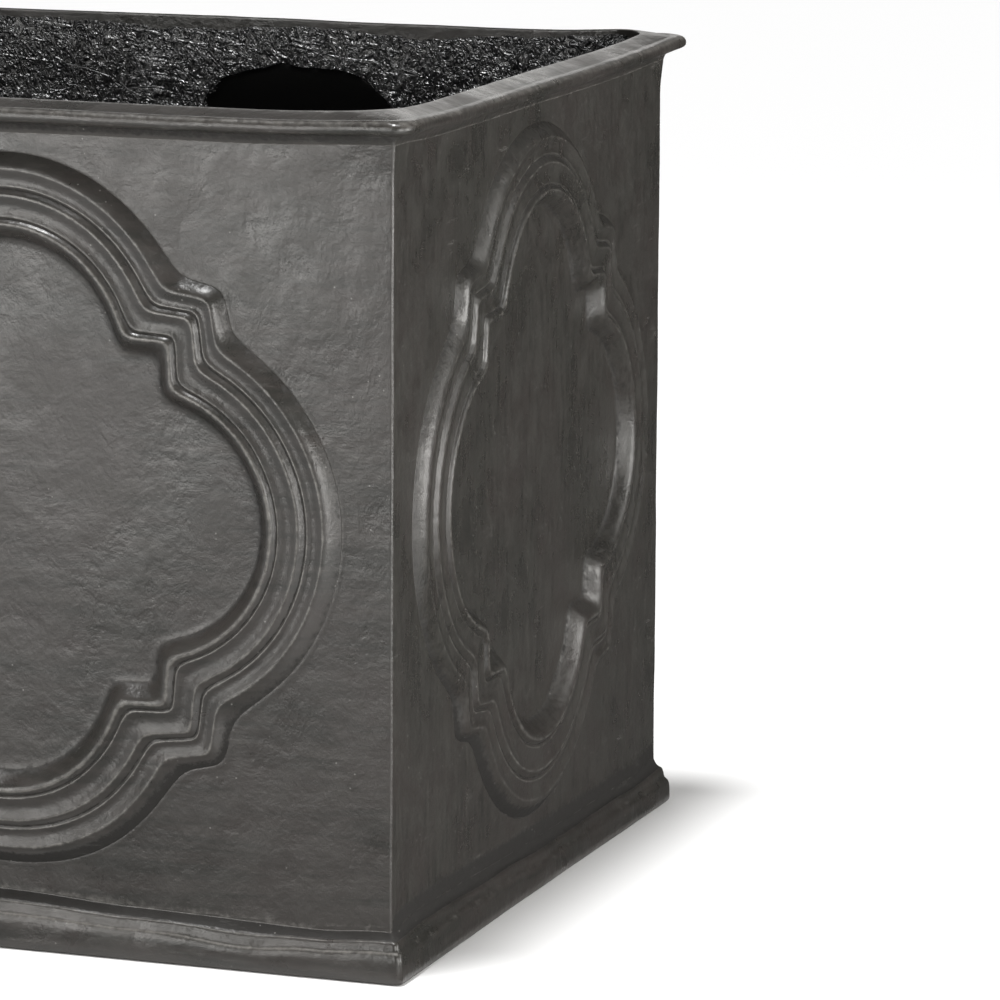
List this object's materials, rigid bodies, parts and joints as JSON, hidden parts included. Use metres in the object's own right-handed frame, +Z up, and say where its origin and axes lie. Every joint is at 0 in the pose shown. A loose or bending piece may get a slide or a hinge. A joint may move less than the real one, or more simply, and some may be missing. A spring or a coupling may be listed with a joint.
{
  "type": "trough planter",
  "caption": "Rectangular floor-standing trough planter, lead-grey glass fibre, with moulded barbed quatrefoils, a flared rim, a plinth, a drained floor and a black glass-mat lining.",
  "frame": {"origin": "on the ground, under the middle of the trough", "axes": "+X along the trough's length, +Y from front to back, +Z up"},
  "size_m": [0.9156, 0.4696, 0.463],
  "materials": {
    "lead_grey_gelcoat": "semi-gloss lead grey, hand finished, brushed and scuffed",
    "black_glass_mat": "black flow coat over coarse chopped-strand glass mat"
  },
  "bodies": {
    "root": {"front_panel": "lead_grey_gelcoat", "back_panel": "lead_grey_gelcoat", "left_end_panel": "lead_grey_gelcoat", "right_end_panel": "lead_grey_gelcoat", "front_rim": "lead_grey_gelcoat", "back_rim": "lead_grey_gelcoat", "left_rim": "lead_grey_gelcoat", "right_rim": "lead_grey_gelcoat", "front_plinth": "lead_grey_gelcoat", "back_plinth": "lead_grey_gelcoat", "left_plinth": "lead_grey_gelcoat", "right_plinth": "lead_grey_gelcoat", "floor_panel": "lead_grey_gelcoat", "front_lining": "black_glass_mat", "back_lining": "black_glass_mat", "left_lining": "black_glass_mat", "right_lining": "black_glass_mat", "floor_lining": "black_glass_mat", "corner_tape_front_left": "black_glass_mat", "corner_tape_front_right": "black_glass_mat", "corner_tape_back_left": "black_glass_mat", "corner_tape_back_right": "black_glass_mat"}
  },
  "joints": []
}
